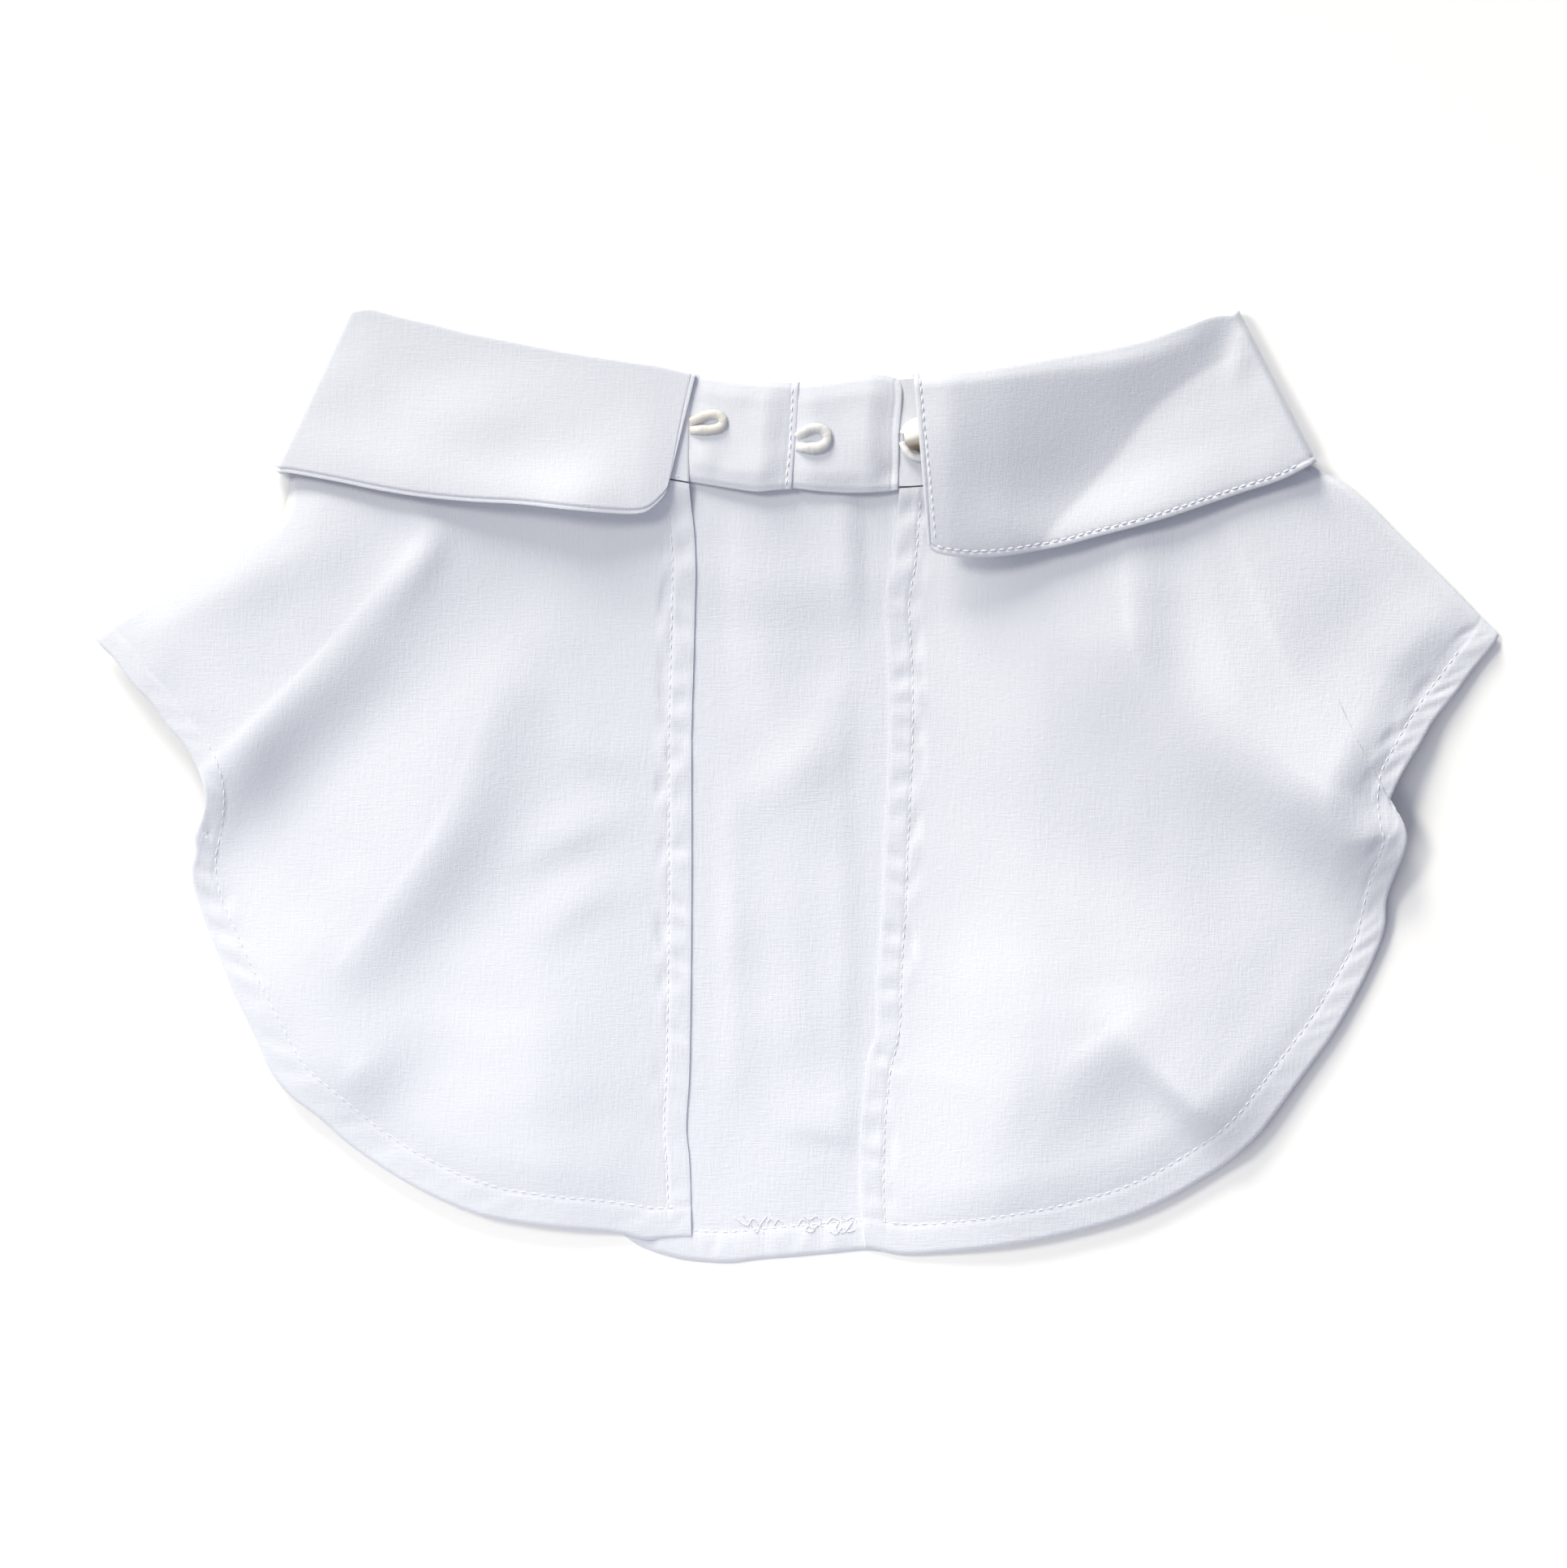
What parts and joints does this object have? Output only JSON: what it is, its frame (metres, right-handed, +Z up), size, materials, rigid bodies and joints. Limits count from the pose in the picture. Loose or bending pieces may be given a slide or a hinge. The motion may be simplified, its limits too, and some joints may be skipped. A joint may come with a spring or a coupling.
{
  "type": "detachable shirt collar",
  "caption": "Detachable shirt collar laid flat, back opening up: turned-down fall over a neck band, short front and back panels, a neck extender with cord loops and a pearl button.",
  "frame": {"origin": "centre of the laid-out collar on the surface it lies on", "axes": "+X across the collar, from the left back panel to the right one as seen from above, +Y towards the top fold of the collar, +Z up out of the surface"},
  "size_m": [0.3151, 0.2142, 0.0105],
  "materials": {
    "panel_cloth": "fine white woven shirting, one ply, matt with a faint sheen",
    "collar_cloth": "fine white woven shirting, two plies, pressed",
    "loop_cord": "ivory covered cord",
    "pearl": "pearlescent, polished"
  },
  "bodies": {
    "root": {"front_panel": "panel_cloth", "back_panel_left": "panel_cloth", "back_panel_right": "panel_cloth", "collar_stand": "collar_cloth", "collar_leaf": "collar_cloth", "stand_extender_1": "collar_cloth", "stand_extender_2": "collar_cloth", "button_loop_1": "loop_cord", "button_loop_2": "loop_cord", "button_loop_3": "loop_cord", "pearl_button": "pearl"}
  },
  "joints": []
}
